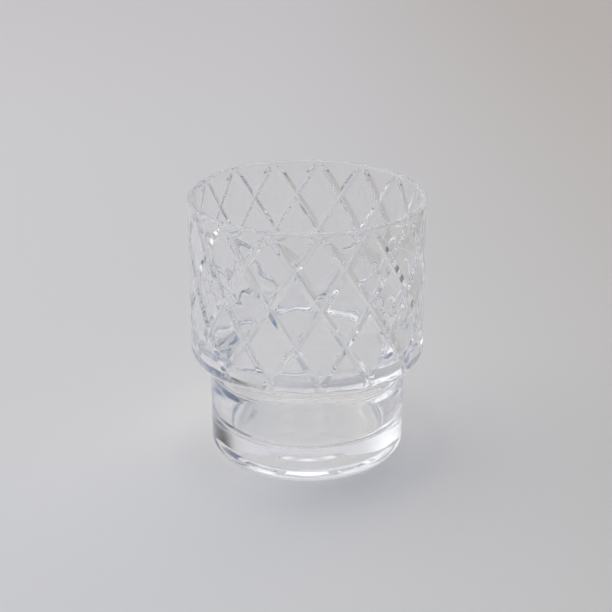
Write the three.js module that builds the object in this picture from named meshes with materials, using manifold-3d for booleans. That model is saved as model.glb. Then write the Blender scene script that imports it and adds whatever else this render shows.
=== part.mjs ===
// A whiskey tumbler pressed from one piece of clear glass, in millimetres, +Z up.
// A near-cylindrical bowl stands on a narrower foot, with a rounded shoulder between them.
// Fifteen grooves each way wind round the bowl and cross as a lattice of upright diamonds.
// The inside is smooth: a wide bowl, a slope at the shoulder, and a narrower well in the foot.
// The origin is the centre of the base, and -Y is the front, where a column of crossings stands.
import * as THREE from "three";
import { mergeGeometries, mergeVertices } from "three/addons/utils/BufferGeometryUtils.js";
import Module from "manifold-3d";

// Outside of the glass.
const HEIGHT = 95.6;
const RIM_RADIUS = 41.5;
const BOWL_RADIUS = 41.9;
const SHOULDER_ROUND = 5.4;
const SHOULDER_Z = 35;
const FOOT_TOP_RADIUS = 35.3;
const FOOT_BOTTOM_RADIUS = 35.1;
const FOOT_CORNER = 0.8;
const BASE_ROUND = 4;

// Inside of the glass.
const RIM_THICKNESS = 2.4;
const WALL_THICKNESS = 3.4;
const SLOPE_TOP_Z = 42.8;
const SLOPE_TOP_ROUND = 11.3;
const SLOPE_FOOT_Z = 30;
const SLOPE_FOOT_ROUND = 22;
const WELL_TOP_RADIUS = 29;
const WELL_FLOOR_RADIUS = 28.5;
const FLOOR_Z = 10;
const FLOOR_ROUND = 5;

// Shallow hollow under the base, which leaves a flat standing ring, and a dimple in its middle.
const HOLLOW_RADIUS = 24;
const HOLLOW_DEPTH = 0.6;
const HOLLOW_SLOPE = 3;
const DIMPLE_RADIUS = 9;
const DIMPLE_DEPTH = 0.4;
const DIMPLE_SLOPE = 1.6;

// Lattice of grooves. The highest row of whole crossings lies TOP_CROSSING_DROP under the rim.
const COLUMNS = 15;
const ROW_PITCH = 13.5;
const TOP_CROSSING_DROP = 13.4;
const GROOVE_WIDTH = 3.1;
const GROOVE_DEPTH = 1.0;
const GROOVE_FADE_Z = 88.5;
const GROOVE_TOP_Z = 93.5;
const GROOVE_BOTTOM_Z = 37.2;

// Fineness of the faceted surface.
const TURN_STEPS = 60;
const ARC_POINTS = 2;
const SHOULDER_CUTS = 3;
const JOIN_GAP = 0.7;
const MERGE_DISTANCE = 1e-3;

const GLASS = { color: 0xeef2f1, roughness: 0.04, metalness: 0, opacity: 0.35, transparent: true };

const TURN = 2 * Math.PI;
const QUARTER = Math.PI / 2;
const FRONT = -QUARTER;
const COLUMN_ANGLE = TURN / COLUMNS;
const TOP_CROSSING_Z = HEIGHT - TOP_CROSSING_DROP;
const SHOULDER_TOP_Z = SHOULDER_Z + SHOULDER_ROUND;

/** Radius of the outside of the bowl and shoulder at height z, where no groove is. */
function outsideRadius(z) {
  if (z < SHOULDER_TOP_Z) {
    const drop = SHOULDER_TOP_Z - z;
    return BOWL_RADIUS - SHOULDER_ROUND + Math.sqrt(SHOULDER_ROUND ** 2 - drop ** 2);
  }
  const rise = (z - SHOULDER_TOP_Z) / (HEIGHT - RIM_THICKNESS / 2 - SHOULDER_TOP_Z);
  return THREE.MathUtils.lerp(BOWL_RADIUS, RIM_RADIUS, rise);
}

/** Depth of one groove, 1 at its middle and 0 from its edge on, at a place counted in columns. */
function veeDepth(place) {
  const halfWidth = GROOVE_WIDTH / 2 / (BOWL_RADIUS * COLUMN_ANGLE);
  return Math.max(0, 1 - Math.abs(place - Math.round(place)) / halfWidth);
}

/**
 * The point of the outside at lattice place (u, v).
 * The grooves of one hand are the whole numbers of u, and those of the other hand of v.
 */
function latticePoint([u, v]) {
  const angle = FRONT + ((u + v) / 2) * COLUMN_ANGLE;
  const z = TOP_CROSSING_Z + (u - v) * ROW_PITCH;
  const fade = 1 - THREE.MathUtils.smoothstep(z, GROOVE_FADE_Z, GROOVE_TOP_Z);
  const groove = GROOVE_DEPTH * fade * Math.max(veeDepth(u), veeDepth(v));
  const radius = Math.min(outsideRadius(z), outsideRadius(SHOULDER_TOP_Z) - groove);
  return new THREE.Vector3(radius * Math.cos(angle), radius * Math.sin(angle), z);
}

/** Height above the highest row of crossings, counted in columns, at lattice place (u, v). */
const heightAt = ([u, v]) => u - v;

/** The part of a convex polygon of lattice places on one side of a height: above it, or below. */
function clipped(polygon, height, above) {
  const side = above ? 1 : -1;
  const kept = [];
  polygon.forEach((place, i) => {
    const next = polygon[(i + 1) % polygon.length];
    const here = side * (heightAt(place) - height);
    const there = side * (heightAt(next) - height);
    if (here >= 0) kept.push(place);
    if (here * there < 0) {
      const share = here / (here - there);
      kept.push([0, 1].map((k) => THREE.MathUtils.lerp(place[k], next[k], share)));
    }
  });
  return kept;
}

/** Adds a convex polygon of lattice places to a list of corner points, as a fan of triangles. */
function addFan(corners, polygon) {
  // A whole cell is split upright, along the cylinder, or across where it is part of a crossing.
  const across = polygon.length === 4 && veeDepth(polygon[1][0]) !== veeDepth(polygon[1][1]);
  const start = across ? 0 : 1;
  const points = polygon.map((_, i) => latticePoint(polygon[(i + start) % polygon.length]));
  for (let i = 1; i + 1 < points.length; i++) {
    corners.push(points[0], points[i], points[i + 1]);
  }
}

/** The grooved band of the outside, between the two heights where the grooves end. */
function latticeBand() {
  const edge = GROOVE_WIDTH / 2 / (BOWL_RADIUS * COLUMN_ANGLE);
  const stations = [0, edge, 0.5, 1 - edge, 1];
  const low = (GROOVE_BOTTOM_Z - TOP_CROSSING_Z) / ROW_PITCH;
  const high = (GROOVE_TOP_Z - TOP_CROSSING_Z) / ROW_PITCH;
  const shoulder = (SHOULDER_TOP_Z - TOP_CROSSING_Z) / ROW_PITCH;
  const levels = [];
  for (let i = 0; i <= SHOULDER_CUTS; i++) {
    levels.push(THREE.MathUtils.lerp(low, shoulder, i / SHOULDER_CUTS));
  }
  levels.push(high);
  const corners = [];
  for (let u = 0; u < COLUMNS; u++) {
    for (let v = Math.floor(u - high) - 1; v <= Math.ceil(u - low) + 1; v++) {
      for (let i = 1; i < stations.length; i++) {
        for (let j = 1; j < stations.length; j++) {
          const cell = [
            [u + stations[i - 1], v + stations[j - 1]],
            [u + stations[i - 1], v + stations[j]],
            [u + stations[i], v + stations[j]],
            [u + stations[i], v + stations[j - 1]],
          ];
          for (let k = 1; k < levels.length; k++) {
            const piece = clipped(clipped(cell, levels[k - 1], true), levels[k], false);
            if (piece.length > 2) addFan(corners, piece);
          }
        }
      }
    }
  }
  return surfaceOf(corners);
}

/** An unindexed surface from a list of corner points, three to a triangle. */
function surfaceOf(corners) {
  return new THREE.BufferGeometry().setFromPoints(corners);
}

/** The surface's points at height z, in order of their angle, each once. */
function ringAt(surface, z) {
  const place = surface.attributes.position;
  const ring = [];
  for (let i = 0; i < place.count; i++) {
    const point = new THREE.Vector3().fromBufferAttribute(place, i);
    const known = ring.some((other) => other.distanceTo(point) < MERGE_DISTANCE);
    if (Math.abs(point.z - z) < MERGE_DISTANCE && !known) ring.push(point);
  }
  const angleOf = (point) => Math.atan2(point.y, point.x);
  return ring.sort((a, b) => angleOf(a) - angleOf(b));
}

/** The band of triangles between two rings of points, the lower ring first. */
function joinRings(lower, upper) {
  const corners = [];
  const angleAt = (ring, i) => {
    const point = ring[i % ring.length];
    return Math.atan2(point.y, point.x) + TURN * Math.floor(i / ring.length);
  };
  let low = 0;
  let up = 0;
  while (low < lower.length || up < upper.length) {
    const a = lower[low % lower.length];
    const b = upper[up % upper.length];
    const lowIsNext = angleAt(lower, low + 1) < angleAt(upper, up + 1);
    if (up === upper.length || (low < lower.length && lowIsNext)) {
      low += 1;
      corners.push(a, lower[low % lower.length], b);
    } else {
      up += 1;
      corners.push(a, upper[up % upper.length], b);
    }
  }
  return surfaceOf(corners);
}

/** A path's points turned about the axis, as an open unindexed surface. */
function turned(path) {
  const surface = new THREE.LatheGeometry(path.getPoints(ARC_POINTS), TURN_STEPS).rotateX(QUARTER);
  surface.deleteAttribute("normal");
  surface.deleteAttribute("uv");
  return surface.toNonIndexed();
}

/** From the axis under the base, up the foot, and out to the shoulder at height z. */
function footPath(z) {
  const path = new THREE.Path();
  path.moveTo(0, HOLLOW_DEPTH + DIMPLE_DEPTH);
  path.lineTo(DIMPLE_RADIUS - DIMPLE_SLOPE, HOLLOW_DEPTH + DIMPLE_DEPTH);
  path.lineTo(DIMPLE_RADIUS, HOLLOW_DEPTH);
  path.lineTo(HOLLOW_RADIUS - HOLLOW_SLOPE, HOLLOW_DEPTH);
  path.lineTo(HOLLOW_RADIUS, 0);
  path.absarc(FOOT_BOTTOM_RADIUS - BASE_ROUND, BASE_ROUND, BASE_ROUND, -QUARTER, 0, false);
  path.lineTo(FOOT_TOP_RADIUS, SHOULDER_Z - FOOT_CORNER);
  path.lineTo(FOOT_TOP_RADIUS + FOOT_CORNER, SHOULDER_Z);
  const centre = BOWL_RADIUS - SHOULDER_ROUND;
  const end = -Math.asin((SHOULDER_TOP_Z - z) / SHOULDER_ROUND);
  path.absarc(centre, SHOULDER_TOP_Z, SHOULDER_ROUND, -QUARTER, end, false);
  return path;
}

/** From the outside at height z, over the rim, and down the inside to the axis. */
function insidePath(z) {
  const rimRound = RIM_THICKNESS / 2;
  const wallRadius = BOWL_RADIUS - WALL_THICKNESS;
  const floorCentre = WELL_FLOOR_RADIUS - FLOOR_ROUND;
  // The slope's angle from the upright, between the corners that its two arcs round off.
  const slope = Math.atan2(wallRadius - WELL_TOP_RADIUS, SLOPE_TOP_Z - SLOPE_FOOT_Z);
  const reach = Math.tan(slope / 2);
  const topZ = SLOPE_TOP_Z + SLOPE_TOP_ROUND * reach;
  const footZ = SLOPE_FOOT_Z - SLOPE_FOOT_ROUND * reach;
  const footCentre = WELL_TOP_RADIUS + SLOPE_FOOT_ROUND;
  const path = new THREE.Path();
  path.moveTo(outsideRadius(z), z);
  path.lineTo(RIM_RADIUS, HEIGHT - rimRound);
  path.absarc(RIM_RADIUS - rimRound, HEIGHT - rimRound, rimRound, 0, Math.PI, false);
  path.absarc(wallRadius - SLOPE_TOP_ROUND, topZ, SLOPE_TOP_ROUND, 0, -slope, true);
  path.absarc(footCentre, footZ, SLOPE_FOOT_ROUND, Math.PI - slope, Math.PI, false);
  path.absarc(floorCentre, FLOOR_Z + FLOOR_ROUND, FLOOR_ROUND, 0, -QUARTER, true);
  path.lineTo(0, FLOOR_Z);
  return path;
}

/** The whole surface of the glass, closed. */
function tumblerSurface() {
  const lowJoin = GROOVE_BOTTOM_Z - JOIN_GAP;
  const highJoin = GROOVE_TOP_Z + JOIN_GAP;
  const lattice = latticeBand();
  const foot = turned(footPath(lowJoin));
  const inside = turned(insidePath(highJoin));
  const lowBand = joinRings(ringAt(foot, lowJoin), ringAt(lattice, GROOVE_BOTTOM_Z));
  const highBand = joinRings(ringAt(lattice, GROOVE_TOP_Z), ringAt(inside, highJoin));
  return mergeVertices(
    mergeGeometries([foot, lowBand, lattice, highBand, inside]),
    MERGE_DISTANCE,
  );
}

/** The closed surface as a solid, checked and rid of empty triangles, and back as a geometry. */
async function toGeometry(surface) {
  const wasm = await Module();
  wasm.setup();
  const solid = new wasm.Manifold(
    new wasm.Mesh({
      numProp: 3,
      vertProperties: new Float32Array(surface.attributes.position.array),
      triVerts: new Uint32Array(surface.index.array),
    }),
  );
  const mesh = solid.getMesh();
  const geometry = new THREE.BufferGeometry();
  geometry.setAttribute("position", new THREE.BufferAttribute(mesh.vertProperties, 3));
  geometry.setIndex(new THREE.BufferAttribute(mesh.triVerts, 1));
  const flat = geometry.toNonIndexed();
  flat.computeVertexNormals();
  return flat;
}

const tumbler = new THREE.Group();
const glass = new THREE.Mesh(
  await toGeometry(tumblerSurface()),
  new THREE.MeshStandardMaterial(GLASS),
);
glass.name = "tumbler_glass";
tumbler.add(glass);

export default tumbler;
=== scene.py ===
import math

import bmesh
import bpy
import numpy as np
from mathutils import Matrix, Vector


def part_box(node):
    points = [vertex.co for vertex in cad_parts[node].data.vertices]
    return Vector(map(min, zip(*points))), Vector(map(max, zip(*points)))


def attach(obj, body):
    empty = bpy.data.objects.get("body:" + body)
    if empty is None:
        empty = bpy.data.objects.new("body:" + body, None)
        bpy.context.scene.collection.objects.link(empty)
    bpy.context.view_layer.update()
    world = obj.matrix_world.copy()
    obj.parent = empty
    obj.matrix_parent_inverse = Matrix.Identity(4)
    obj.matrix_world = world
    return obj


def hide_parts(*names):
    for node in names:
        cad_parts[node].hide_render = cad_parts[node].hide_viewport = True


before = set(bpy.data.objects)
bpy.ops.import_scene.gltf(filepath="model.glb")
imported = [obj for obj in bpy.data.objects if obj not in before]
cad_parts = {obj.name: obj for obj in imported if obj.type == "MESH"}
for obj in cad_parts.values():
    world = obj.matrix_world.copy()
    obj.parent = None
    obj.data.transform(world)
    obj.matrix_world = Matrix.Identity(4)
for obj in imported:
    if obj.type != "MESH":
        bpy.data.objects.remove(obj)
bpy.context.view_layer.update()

# A pressed-glass tumbler, in metres. It is one closed skin of three parts: the underside and
# foot, the grooved band round the bowl, and the lip with the inside. The grooves and the
# underside are softer than the CAD model's, and the other outlines repeat it.
NODE = "tumbler_glass"
BASE, TOP = (corner.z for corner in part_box(NODE))
HEIGHT = TOP - BASE

# The outside.
RIM_RADIUS = 0.0415
BOWL_RADIUS = 0.0419
SHOULDER_ROUND = 0.0054
SHOULDER_Z = 0.0350
SHOULDER_TOP_Z = SHOULDER_Z + SHOULDER_ROUND
FOOT_TOP_RADIUS = 0.0353
FOOT_BOTTOM_RADIUS = 0.0351
FOOT_CORNER = 0.0008
BASE_ROUND = 0.004

# The underside: a shallow hollow with a dimple in its middle.
HOLLOW_RADIUS = 0.024
HOLLOW_DEPTH = 0.0006
HOLLOW_SLOPE = 0.003
HOLLOW_CORNER = 0.006
DIMPLE_RADIUS = 0.0090
DIMPLE_DEPTH = 0.0004
DIMPLE_SLOPE = 0.0026
DIMPLE_CORNER = 0.004

# The lip and the inside: a straight wall, a sloped ledge at the shoulder, and the well. The
# lip's roundings leave a sliver of flat between them.
RIM_THICKNESS = 0.0024
LIP_ROUND_SHARE = 0.98
LIP_ROUND = RIM_THICKNESS / 2 * LIP_ROUND_SHARE
WALL_THICKNESS = 0.0034
SLOPE_TOP_Z = 0.0428
SLOPE_TOP_ROUND = 0.0113
SLOPE_FOOT_Z = 0.0300
WELL_TOP_RADIUS = 0.0290
WELL_FLOOR_RADIUS = 0.0285
WELL_MOUTH_ROUND = 0.022
FLOOR_Z = 0.010
FLOOR_ROUND = 0.005

# The grooves. The bed's softness is in half widths of a groove, and the edge's softness and the
# lift are shares of its depth. Each groove fades out above GROOVE_FADE_Z and runs out below
# GROOVE_RUNOUT_Z, and the band that holds them reaches from GROOVE_BOTTOM_Z to GROOVE_TOP_Z.
COLUMNS = 15
COLUMN_ANGLE = 2 * math.pi / COLUMNS
FRONT = -math.pi / 2
ROW_PITCH = 0.0135
TOP_CROSSING_Z = HEIGHT - 0.0134
GROOVE_WIDTH = 0.0031
GROOVE_DEPTH = 0.00090
GROOVE_BED_SOFTNESS = 0.18
GROOVE_EDGE_SOFTNESS = 0.08
LAND_DOME = 0.0002
GROOVE_FADE_Z = 0.0905
GROOVE_TOP_Z = 0.0940
GROOVE_RUNOUT_Z = 0.0414
GROOVE_END_Z = 0.0386
GROOVE_BOTTOM_Z = 0.0380
GROOVE_END_LIFT = 1.2

# Waves in the inner wall: how many round the glass, how many per metre of height, phase, depth.
INNER_WAVES = (
    (23, 70, 0.3, 1.6e-5),
    (-37, 110, 1.7, 0.9e-5),
    (14, -130, 4.1, 1.4e-5),
    (49, 40, 2.6, 0.5e-5),
)
WAVES_START_Z = (0.031, 0.037)
WAVES_END_Z = (0.084, 0.0915)

# How finely the skin is divided. The near part of a column is the groove and a little beside it.
# The seam is the gap beside the band that triangles close. Spare columns reach past the band's
# edges before it is cut level.
TURN_STEPS = 360
ARC_STEP = math.radians(6)
SHOULDER_STEPS = 10
OUTSIDE_STEP = 0.0025
INSIDE_STEP = 0.001
NEAR_HALF_WIDTHS = 1.4
NEAR_STEPS = 22
FAR_STEPS = 9
SPARE_COLUMNS = 2
BAND_SEAM = 0.0002
MERGE_DISTANCE = 1e-5
LEVEL_TOLERANCE = 1e-7
ON_AXIS = 1e-9

# The glass itself. Scales are per metre, distances and heights in metres.
GLASS_IOR = 1.52
GLASS_TINTS = ((1.0, 1.0, 1.0), (0.990, 0.993, 0.991))
CORD_SCALE = 90
CORD_DETAIL = 2
CORD_RANGE = (0.35, 0.65)
SCUFF_SCALE = 2500
SCUFF_DETAIL = 4
SCUFF_RANGE = (0.4, 0.7)
SCUFF_ROUGHNESS = 0.10
SCUFF_HEIGHTS = (0.0001, 0.0006)
SKIN_SCALE = 110
SKIN_DETAIL = 1
SKIN_STRENGTH = 0.15
SKIN_DISTANCE = 0.0001

# The camera. The view frame is the row frame turned by VIEW_TURN: right, away from the camera, up.
VIEW_TURN = math.radians(5.9)
CAMERA_DISTANCE = 0.4511
CAMERA_HEIGHT = 0.2442
CAMERA_PITCH = math.radians(22.945)
CAMERA_YAW = math.radians(0.058)
SENSOR_MM = 36
LENS_MM = 80.35

# The floor: its colour near the camera, painted shades that set in along an axis of the view frame
# (axis, start, full, way of mixing, colour), and a painted fall-off far from the glass. All of it is
# painted light: the floor gets warmer and darker away from the camera and darker to the right,
# standing in for the cool soft box's light falling off, and darker far off.
FLOOR_HALF_WIDTH = 6
FLOOR_DROP = 0.0002
FLOOR_ROUGHNESS = 0.8
FLOOR_NEAR_COLOUR = (0.965, 0.930, 0.875)
# Painted shade: warmer and a little darker away from the camera, and darker to the right.
FLOOR_PAINTED_SHADES = (
    ((0, 1, 0), -0.05, 0.80, "MIX", (0.950, 0.885, 0.825)),
    ((1, 0, 0), -0.06, 0.26, "MULTIPLY", (0.87, 0.835, 0.775)),
)
# Painted shade: darker far from the glass.
FLOOR_PAINTED_FALL_OFF = (0.95, 2.2)
FLOOR_PAINTED_FAR_SHADE = (0.30, 0.31, 0.34)

# A soft box on the left, in the view frame. Its light fades over WINDOW_EDGE of each side.
WINDOW_PLACE = (-0.85, 0.10, 0.55)
WINDOW_AIM = (0, 0, 0.05)
WINDOW_SIZE = (2.4, 1.8)
WINDOW_WATTS = 5.6
WINDOW_COLOUR = (0.98, 0.99, 1.0)
WINDOW_EDGE = 0.3
WINDOW_MIDDLE = 0.5

# The studio around the glass, as patches on a plain colour: an axis in the view frame, where the
# patch fades in and where it is full, as the cosine to the axis, and its colour.
WORLD_STRENGTH = 1.55
STUDIO_BASE = (0.93, 0.925, 0.915)
STUDIO_PATCHES = (
    ((0.0, 1.0, 0.2), 0.50, 0.92, (0.42, 0.42, 0.45)),
    ((1.0, 0.0, 0.12), 0.40, 0.86, (0.15, 0.140, 0.135)),
    ((0.8, 0.1, 0.6), 0.80, 0.94, (0.05, 0.045, 0.04)),
    ((0.45, -0.75, 0.5), 0.32, 0.84, (0.080, 0.12, 0.22)),
    ((-0.9, 0.25, 0.4), 0.40, 0.88, (0.46, 0.47, 0.485)),
    ((-0.5, -0.8, 0.35), 0.66, 0.90, (0.07, 0.09, 0.15)),
)

# How often light may bounce, and the width of the pixel filter.
GLASS_BOUNCES = 40
DIFFUSE_BOUNCES = 6
FILTER_WIDTH = 1.6


def outside_radius(z):
    """Radius of the bowl and shoulder at each height, where no groove is."""
    rise = np.clip((z - SHOULDER_TOP_Z) / (HEIGHT - RIM_THICKNESS / 2 - SHOULDER_TOP_Z), 0, 1)
    bowl = BOWL_RADIUS + (RIM_RADIUS - BOWL_RADIUS) * rise
    drop = np.clip(SHOULDER_TOP_Z - z, 0, SHOULDER_ROUND)
    return bowl - SHOULDER_ROUND + np.sqrt(SHOULDER_ROUND**2 - drop**2)


def soft_ramp(x, softness):
    """Zero below zero and x above, with a rounded corner."""
    return (x + np.sqrt(x * x + softness * softness)) / 2


def eased(share):
    """A share from 0 to 1 with a soft start and end."""
    return share * share * (3 - 2 * share)


def smooth_step(start, end, x):
    """0 up to the start, 1 from the end, and eased between them."""
    return eased(np.clip((x - start) / (end - start), 0, 1))


def groove_share(place, lift):
    """Depth of one groove as a share of the whole depth, at a place counted in columns."""
    across = np.abs(place - np.round(place)) * COLUMN_ANGLE * BOWL_RADIUS / (GROOVE_WIDTH / 2)
    across = np.sqrt(across**2 + GROOVE_BED_SOFTNESS**2) - GROOVE_BED_SOFTNESS
    return soft_ramp(1 - across - lift, GROOVE_EDGE_SOFTNESS)


def groove_lift(z):
    """How far the grooves rise out of the glass towards both of their ends."""
    above = np.clip((z - GROOVE_FADE_Z) / (GROOVE_TOP_Z - GROOVE_FADE_Z), 0, 1)
    below = np.clip((GROOVE_RUNOUT_Z - z) / (GROOVE_RUNOUT_Z - GROOVE_END_Z), 0, 1)
    return GROOVE_END_LIFT * (above**2 + below**2)


def lattice_radius(u, v, z):
    """Radius of the band. Grooves lie at whole u and at whole v, and the land between is domed."""
    lift = groove_lift(z)
    groove = GROOVE_DEPTH * np.maximum(groove_share(u, lift), groove_share(v, lift))
    dome = np.abs(np.sin(np.pi * u) * np.sin(np.pi * v))
    groove = groove + LAND_DOME * (1 - dome) * (1 - eased(np.clip(lift, 0, 1)))
    plain = outside_radius(z)
    bowl = outside_radius(np.maximum(z, SHOULDER_TOP_Z))
    return bowl - np.maximum(bowl - plain, groove)


def stations():
    """Places across one column, close together in its groove."""
    edge = NEAR_HALF_WIDTHS * GROOVE_WIDTH / 2 / (BOWL_RADIUS * COLUMN_ANGLE)
    near = np.linspace(0, edge, NEAR_STEPS + 1)
    far = np.linspace(edge, 0.5, FAR_STEPS + 1)[1:]
    half = np.concatenate([near, far])
    return np.concatenate([half, 1 - half[::-1][1:]])


def lattice_grid():
    """Points on a cylinder of radius 1, and quads, that cover the grooved band and a bit more."""
    marks = stations()[:-1]
    low = (GROOVE_BOTTOM_Z - TOP_CROSSING_Z) / ROW_PITCH
    high = (GROOVE_TOP_Z - TOP_CROSSING_Z) / ROW_PITCH
    us = np.concatenate([k + marks for k in range(COLUMNS)] + [[COLUMNS]])
    first = math.floor(-high) - SPARE_COLUMNS
    last = COLUMNS + math.ceil(-low) + SPARE_COLUMNS
    vs = np.concatenate([k + marks for k in range(first, last)])
    u, v = np.meshgrid(us, vs, indexing="ij")
    index = np.arange(u.size).reshape(u.shape)
    quads = np.stack([index[:-1, :-1], index[:-1, 1:], index[1:, 1:], index[1:, :-1]], axis=-1)
    heights = (u - v).ravel()[quads]
    quads = quads[(heights.max(-1) > low) & (heights.min(-1) < high)]
    used, quads = np.unique(quads, return_inverse=True)
    u, v = u.ravel()[used], v.ravel()[used]
    angle = FRONT + (u + v) / 2 * COLUMN_ANGLE
    z = TOP_CROSSING_Z + (u - v) * ROW_PITCH
    return np.column_stack([np.cos(angle), np.sin(angle), z]), quads.reshape(-1, 4)


def joined_and_trimmed(co, quads):
    """The grid closed round the glass and cut level at the band's lower and upper edge."""
    mesh = bpy.data.meshes.new("band")
    mesh.from_pydata(co.tolist(), [], quads.tolist())
    work = bmesh.new()
    work.from_mesh(mesh)
    bmesh.ops.remove_doubles(work, verts=work.verts, dist=MERGE_DISTANCE)
    for level, normal in ((GROOVE_BOTTOM_Z, (0, 0, -1)), (GROOVE_TOP_Z, (0, 0, 1))):
        bmesh.ops.bisect_plane(
            work,
            geom=list(work.verts) + list(work.edges) + list(work.faces),
            dist=LEVEL_TOLERANCE,
            plane_co=(0, 0, level),
            plane_no=normal,
            clear_outer=True,
        )
    work.to_mesh(mesh)
    work.free()
    co = np.empty(len(mesh.vertices) * 3)
    mesh.vertices.foreach_get("co", co)
    faces = [tuple(p.vertices) for p in mesh.polygons]
    bpy.data.meshes.remove(mesh)
    return co.reshape(-1, 3), faces


def lattice_band():
    """Points and faces of the grooved band."""
    co, faces = joined_and_trimmed(*lattice_grid())
    angle = np.arctan2(co[:, 1], co[:, 0])
    z = co[:, 2]
    turn = (angle - FRONT) / COLUMN_ANGLE
    rise = (z - TOP_CROSSING_Z) / ROW_PITCH / 2
    radius = lattice_radius(turn + rise, turn - rise, z)
    return np.column_stack([radius * np.cos(angle), radius * np.sin(angle), z]), faces


def rounded(corners):
    """The outline through the corners (radius, height, rounding), with each corner as an arc."""
    points = []
    for i, (r, z, rounding) in enumerate(corners):
        here = np.array([r, z])
        if rounding == 0 or i in (0, len(corners) - 1):
            points.append(here)
            continue
        before = np.array(corners[i - 1][:2]) - here
        after = np.array(corners[i + 1][:2]) - here
        before /= np.linalg.norm(before)
        after /= np.linalg.norm(after)
        half = math.acos(np.clip(before @ after, -1, 1)) / 2
        reach = rounding / math.tan(half)
        centre = here + (before + after) / np.linalg.norm(before + after) * rounding / math.sin(half)
        start = here + before * reach - centre
        end = here + after * reach - centre
        sweep = math.pi - 2 * half
        sign = math.copysign(1, start[0] * end[1] - start[1] * end[0])
        steps = max(2, math.ceil(sweep / ARC_STEP))
        for k in range(steps + 1):
            a = sign * sweep * k / steps
            points.append(centre + [
                start[0] * math.cos(a) - start[1] * math.sin(a),
                start[0] * math.sin(a) + start[1] * math.cos(a),
            ])
    return np.array(points)


def densified(outline, longest):
    """The outline with no stretch longer than the given length."""
    out = [outline[0]]
    for a, b in zip(outline[:-1], outline[1:]):
        n = max(1, math.ceil(np.linalg.norm(b - a) / longest))
        out += [a + (b - a) * k / n for k in range(1, n + 1)]
    return np.array(out)


def shoulder_arc():
    """The rounding under the shoulder, from the foot up to just below the band."""
    start = -math.pi / 2
    end = -math.asin((SHOULDER_TOP_Z - GROOVE_BOTTOM_Z + BAND_SEAM) / SHOULDER_ROUND)
    angles = [start + (end - start) * k / SHOULDER_STEPS for k in range(SHOULDER_STEPS + 1)]
    middle = BOWL_RADIUS - SHOULDER_ROUND
    return [
        [middle + SHOULDER_ROUND * math.cos(a), SHOULDER_TOP_Z + SHOULDER_ROUND * math.sin(a)]
        for a in angles
    ]


def foot_outline():
    """From the middle of the underside, round the base and up to the band."""
    arc = shoulder_arc()
    lower = rounded([
        (0, HOLLOW_DEPTH + DIMPLE_DEPTH, 0),
        (DIMPLE_RADIUS - DIMPLE_SLOPE, HOLLOW_DEPTH + DIMPLE_DEPTH, DIMPLE_CORNER),
        (DIMPLE_RADIUS, HOLLOW_DEPTH, DIMPLE_CORNER),
        (HOLLOW_RADIUS - HOLLOW_SLOPE, HOLLOW_DEPTH, HOLLOW_CORNER),
        (HOLLOW_RADIUS, 0, HOLLOW_CORNER),
        (FOOT_BOTTOM_RADIUS, 0, BASE_ROUND),
        (FOOT_TOP_RADIUS, SHOULDER_Z, FOOT_CORNER),
        tuple(arc[0]) + (0,),
    ])
    return densified(np.vstack([lower, arc[1:]]), OUTSIDE_STEP)


def inside_outline():
    """From just above the band, over the lip and down to the middle of the floor."""
    start_z = GROOVE_TOP_Z + BAND_SEAM
    return densified(rounded([
        (float(outside_radius(np.array(start_z))), start_z, 0),
        (RIM_RADIUS, HEIGHT, LIP_ROUND),
        (RIM_RADIUS - RIM_THICKNESS, HEIGHT, LIP_ROUND),
        (BOWL_RADIUS - WALL_THICKNESS, SLOPE_TOP_Z, SLOPE_TOP_ROUND),
        (WELL_TOP_RADIUS, SLOPE_FOOT_Z, WELL_MOUTH_ROUND),
        (WELL_FLOOR_RADIUS, FLOOR_Z, FLOOR_ROUND),
        (0, FLOOR_Z, 0),
    ]), INSIDE_STEP)


def rippled(co):
    """The inner wall with the slight waves that pressing leaves in it."""
    turn = np.arctan2(co[:, 1], co[:, 0])
    z = co[:, 2]
    depth = np.zeros(len(co))
    for around, upwards, phase, wave_depth in INNER_WAVES:
        depth += wave_depth * np.sin(around * turn + 2 * math.pi * upwards * z + phase)
    depth *= smooth_step(*WAVES_START_Z, z) * (1 - smooth_step(*WAVES_END_Z, z))
    radius = np.hypot(co[:, 0], co[:, 1])
    out = co.copy()
    out[:, :2] *= (1 + depth / np.maximum(radius, ON_AXIS))[:, None]
    return out


def turned(outline):
    """Points, faces and rings of the outline turned round the axis."""
    angles = FRONT + np.arange(TURN_STEPS) * 2 * math.pi / TURN_STEPS
    rings, verts, faces = [], [], []
    for r, z in outline:
        start = len(verts)
        if r < ON_AXIS:
            verts.append((0, 0, z))
        else:
            verts += [(r * math.cos(a), r * math.sin(a), z) for a in angles]
        rings.append(list(range(start, len(verts))))
    for low, high in zip(rings[:-1], rings[1:]):
        for i in range(TURN_STEPS):
            j = (i + 1) % TURN_STEPS
            if len(low) == 1:
                faces.append((low[0], high[j], high[i]))
            elif len(high) == 1:
                faces.append((low[i], low[j], high[0]))
            else:
                faces.append((low[i], low[j], high[j], high[i]))
    return np.array(verts), faces, rings


def zipped(co, low, high):
    """Triangles between two rings of vertex numbers."""

    def angle(n):
        return math.atan2(co[n][1], co[n][0])

    def turn(ring, i):
        return angle(ring[i % len(ring)]) + 2 * math.pi * (i // len(ring))

    low = sorted(low, key=angle)
    high = sorted(high, key=angle)
    faces, i, j = [], 0, 0
    while i < len(low) or j < len(high):
        a, b = low[i % len(low)], high[j % len(high)]
        if j == len(high) or (i < len(low) and turn(low, i + 1) < turn(high, j + 1)):
            i += 1
            faces.append((a, low[i % len(low)], b))
        else:
            j += 1
            faces.append((a, high[j % len(high)], b))
    return faces


def numbers_at(level, co, first):
    """Vertex numbers of the points at a level, when the first point has the given number."""
    return [first + i for i in np.flatnonzero(np.abs(co[:, 2] - level) < LEVEL_TOLERANCE)]


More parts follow.
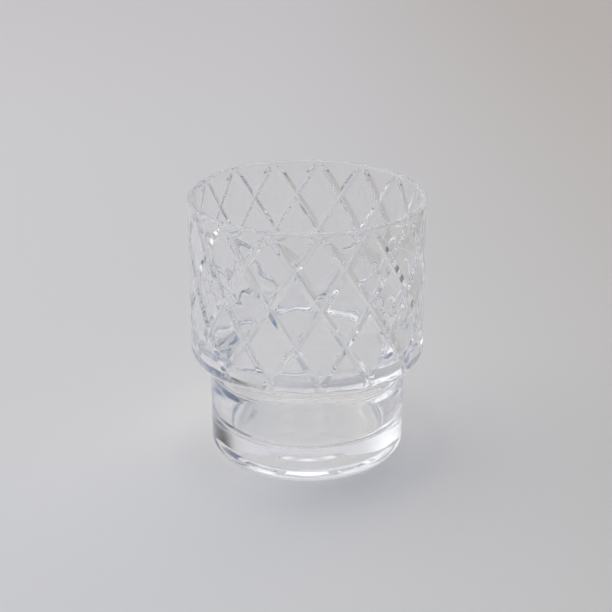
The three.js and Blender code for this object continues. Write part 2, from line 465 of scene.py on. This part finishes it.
def tumbler_mesh():
    """The whole skin: foot, band and inside, with triangles between them."""
    foot_co, foot_faces, foot_rings = turned(foot_outline())
    band_co, band_faces = lattice_band()
    in_co, in_faces, in_rings = turned(inside_outline())
    co = np.vstack([foot_co, band_co, rippled(in_co)])
    first_band = len(foot_co)
    first_in = first_band + len(band_co)
    faces = list(foot_faces)
    faces += [tuple(n + first_band for n in f) for f in band_faces]
    faces += [tuple(n + first_in for n in f) for f in in_faces]
    bottom = numbers_at(GROOVE_BOTTOM_Z, band_co, first_band)
    top = numbers_at(GROOVE_TOP_Z, band_co, first_band)
    faces += zipped(co, foot_rings[-1], bottom)
    faces += zipped(co, top, [n + first_in for n in in_rings[0]])
    mesh = bpy.data.meshes.new("glass_body")
    mesh.from_pydata(co.tolist(), [], faces)
    mesh.validate()
    mesh.shade_smooth()
    return mesh


def towards_view(x, y, z):
    """A point of the view frame, in the row frame."""
    c, s = math.cos(VIEW_TURN), math.sin(VIEW_TURN)
    return (c * x - s * y, s * x + c * y, z)


def noise(nodes, links, coords, scale, detail):
    texture = nodes.new("ShaderNodeTexNoise")
    texture.inputs["Scale"].default_value = scale
    texture.inputs["Detail"].default_value = detail
    links.new(coords.outputs["Object"], texture.inputs["Vector"])
    return texture.outputs[0]


def mapped(nodes, links, value, source, target=(0, 1)):
    """A value carried from one range to another, with a soft start and end."""
    ramp = nodes.new("ShaderNodeMapRange")
    ramp.interpolation_type = "SMOOTHSTEP"
    ramp.inputs["From Min"].default_value, ramp.inputs["From Max"].default_value = source
    ramp.inputs["To Min"].default_value, ramp.inputs["To Max"].default_value = target
    links.new(value, ramp.inputs["Value"])
    return ramp.outputs["Result"]


def product(nodes, links, one, other):
    times = nodes.new("ShaderNodeMath")
    times.operation = "MULTIPLY"
    links.new(one, times.inputs[0])
    links.new(other, times.inputs[1])
    return times.outputs[0]


def plain_colour(nodes, colour):
    output = nodes.new("ShaderNodeRGB").outputs[0]
    output.default_value = (*colour, 1)
    return output


def mixed(nodes, links, factor, under, over, way="MIX"):
    """The colour from a socket, with a second colour mixed in by a factor."""
    mix = nodes.new("ShaderNodeMix")
    mix.data_type = "RGBA"
    mix.blend_type = way
    mix.inputs["B"].default_value = (*over, 1)
    links.new(factor, mix.inputs["Factor"])
    links.new(under, mix.inputs["A"])
    return mix.outputs["Result"]


def along(nodes, links, place, axis):
    """How far a place or a direction lies along an axis of the view frame."""
    dot = nodes.new("ShaderNodeVectorMath")
    dot.operation = "DOT_PRODUCT"
    dot.inputs[1].default_value = Vector(towards_view(*axis)).normalized()
    links.new(place, dot.inputs[0])
    return dot.outputs["Value"]


def glass_material():
    """Clear glass with faint cords in its tint, a fire-polished skin and a scuffed standing ring."""
    material = bpy.data.materials.new("clear_pressed_glass")
    material.use_nodes = True
    nodes, links = material.node_tree.nodes, material.node_tree.links
    shader = nodes["Principled BSDF"]
    shader.inputs["IOR"].default_value = GLASS_IOR
    shader.inputs["Transmission Weight"].default_value = 1.0
    coords = nodes.new("ShaderNodeTexCoord")

    cords = mapped(nodes, links, noise(nodes, links, coords, CORD_SCALE, CORD_DETAIL), CORD_RANGE)
    tint = mixed(nodes, links, cords, plain_colour(nodes, GLASS_TINTS[0]), GLASS_TINTS[1])
    links.new(tint, shader.inputs["Base Color"])

    split = nodes.new("ShaderNodeSeparateXYZ")
    links.new(coords.outputs["Object"], split.inputs[0])
    scuffs = noise(nodes, links, coords, SCUFF_SCALE, SCUFF_DETAIL)
    scuffs = mapped(nodes, links, scuffs, SCUFF_RANGE, (0, SCUFF_ROUGHNESS))
    low = mapped(nodes, links, split.outputs["Z"], SCUFF_HEIGHTS, (1, 0))
    links.new(product(nodes, links, scuffs, low), shader.inputs["Roughness"])

    skin = nodes.new("ShaderNodeBump")
    skin.inputs["Strength"].default_value = SKIN_STRENGTH
    skin.inputs["Distance"].default_value = SKIN_DISTANCE
    links.new(noise(nodes, links, coords, SKIN_SCALE, SKIN_DETAIL), skin.inputs["Height"])
    links.new(skin.outputs["Normal"], shader.inputs["Normal"])
    return material


def floor_material():
    """A pale sheet with painted shade: slightly warmer away from the camera, and darker to the right
    and far off, where the soft box's light falls off.
    """
    material = bpy.data.materials.new("pale_floor")
    material.use_nodes = True
    nodes, links = material.node_tree.nodes, material.node_tree.links
    shader = nodes["Principled BSDF"]
    shader.inputs["Roughness"].default_value = FLOOR_ROUGHNESS
    place = nodes.new("ShaderNodeTexCoord").outputs["Object"]
    colour = plain_colour(nodes, FLOOR_NEAR_COLOUR)
    # Painted shade, where the soft box's light falls off: warmer away from the camera, darker to the
    # right.
    for axis, start, full, way, painted_shade in FLOOR_PAINTED_SHADES:
        share = mapped(nodes, links, along(nodes, links, place, axis), (start, full))
        colour = mixed(nodes, links, share, colour, painted_shade, way)
    # Painted shade: darker far from the glass.
    reach = nodes.new("ShaderNodeVectorMath")
    reach.operation = "LENGTH"
    links.new(place, reach.inputs[0])
    share = mapped(nodes, links, reach.outputs["Value"], FLOOR_PAINTED_FALL_OFF)
    colour = mixed(nodes, links, share, colour, FLOOR_PAINTED_FAR_SHADE, "MULTIPLY")
    links.new(colour, shader.inputs["Base Color"])
    return material


def floor():
    """The floor lies just under the glass, so that the two faces don't touch."""
    w = FLOOR_HALF_WIDTH
    corners = [(-w, -w), (w, -w), (w, w), (-w, w)]
    mesh = bpy.data.meshes.new("floor")
    mesh.from_pydata([(x, y, -FLOOR_DROP) for x, y in corners], [], [(0, 1, 2, 3)])
    mesh.materials.append(floor_material())
    obj = bpy.data.objects.new("floor", mesh)
    bpy.context.scene.collection.objects.link(obj)


def camera():
    data = bpy.data.cameras.new("camera")
    data.sensor_width = SENSOR_MM
    data.lens = LENS_MM
    obj = bpy.data.objects.new("camera", data)
    obj.location = towards_view(0, -CAMERA_DISTANCE, CAMERA_HEIGHT)
    obj.rotation_euler = (math.pi / 2 - CAMERA_PITCH, 0, VIEW_TURN + CAMERA_YAW)
    bpy.context.scene.collection.objects.link(obj)
    bpy.context.scene.camera = obj


def window():
    """A soft box whose light fades towards its edges."""
    data = bpy.data.lights.new("window", "AREA")
    data.shape = "RECTANGLE"
    data.size, data.size_y = WINDOW_SIZE
    data.energy = WINDOW_WATTS
    data.color = WINDOW_COLOUR
    data.use_nodes = True
    nodes, links = data.node_tree.nodes, data.node_tree.links
    split = nodes.new("ShaderNodeSeparateXYZ")
    links.new(nodes.new("ShaderNodeNewGeometry").outputs["Parametric"], split.inputs[0])
    fades = []
    for axis in ("X", "Y"):
        inwards = nodes.new("ShaderNodeMath")
        inwards.operation = "PINGPONG"
        inwards.inputs[1].default_value = WINDOW_MIDDLE
        links.new(split.outputs[axis], inwards.inputs[0])
        fades.append(mapped(nodes, links, inwards.outputs[0], (0, WINDOW_EDGE)))
    links.new(product(nodes, links, *fades), nodes["Emission"].inputs["Strength"])
    obj = bpy.data.objects.new("window", data)
    obj.location = towards_view(*WINDOW_PLACE)
    aim = Vector(towards_view(*WINDOW_AIM)) - obj.location
    obj.rotation_euler = aim.to_track_quat("-Z", "Y").to_euler()
    bpy.context.scene.collection.objects.link(obj)


def studio():
    """The world: a plain light colour with the soft patches of a room in it."""
    surroundings = bpy.data.worlds.new("studio")
    surroundings.use_nodes = True
    bpy.context.scene.world = surroundings
    nodes, links = surroundings.node_tree.nodes, surroundings.node_tree.links
    direction = nodes.new("ShaderNodeTexCoord").outputs["Generated"]
    colour = plain_colour(nodes, STUDIO_BASE)
    for axis, start, full, patch in STUDIO_PATCHES:
        share = mapped(nodes, links, along(nodes, links, direction, axis), (start, full))
        colour = mixed(nodes, links, share, colour, patch)
    links.new(colour, nodes["Background"].inputs["Color"])
    nodes["Background"].inputs["Strength"].default_value = WORLD_STRENGTH


def render_settings():
    """Enough bounces for light to cross the glass, with no blur on what shows through it."""
    scene = bpy.context.scene
    scene.view_settings.view_transform = "Standard"
    scene.cycles.use_denoising = True
    scene.cycles.max_bounces = GLASS_BOUNCES
    scene.cycles.transmission_bounces = GLASS_BOUNCES
    scene.cycles.glossy_bounces = GLASS_BOUNCES
    scene.cycles.diffuse_bounces = DIFFUSE_BOUNCES
    scene.cycles.blur_glossy = 0.0
    scene.cycles.filter_width = FILTER_WIDTH


body = bpy.data.objects.new("tumbler_body", tumbler_mesh())
bpy.context.scene.collection.objects.link(body)
body.data.materials.append(glass_material())
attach(body, "root")
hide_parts(NODE)
floor()
camera()
window()
studio()
render_settings()
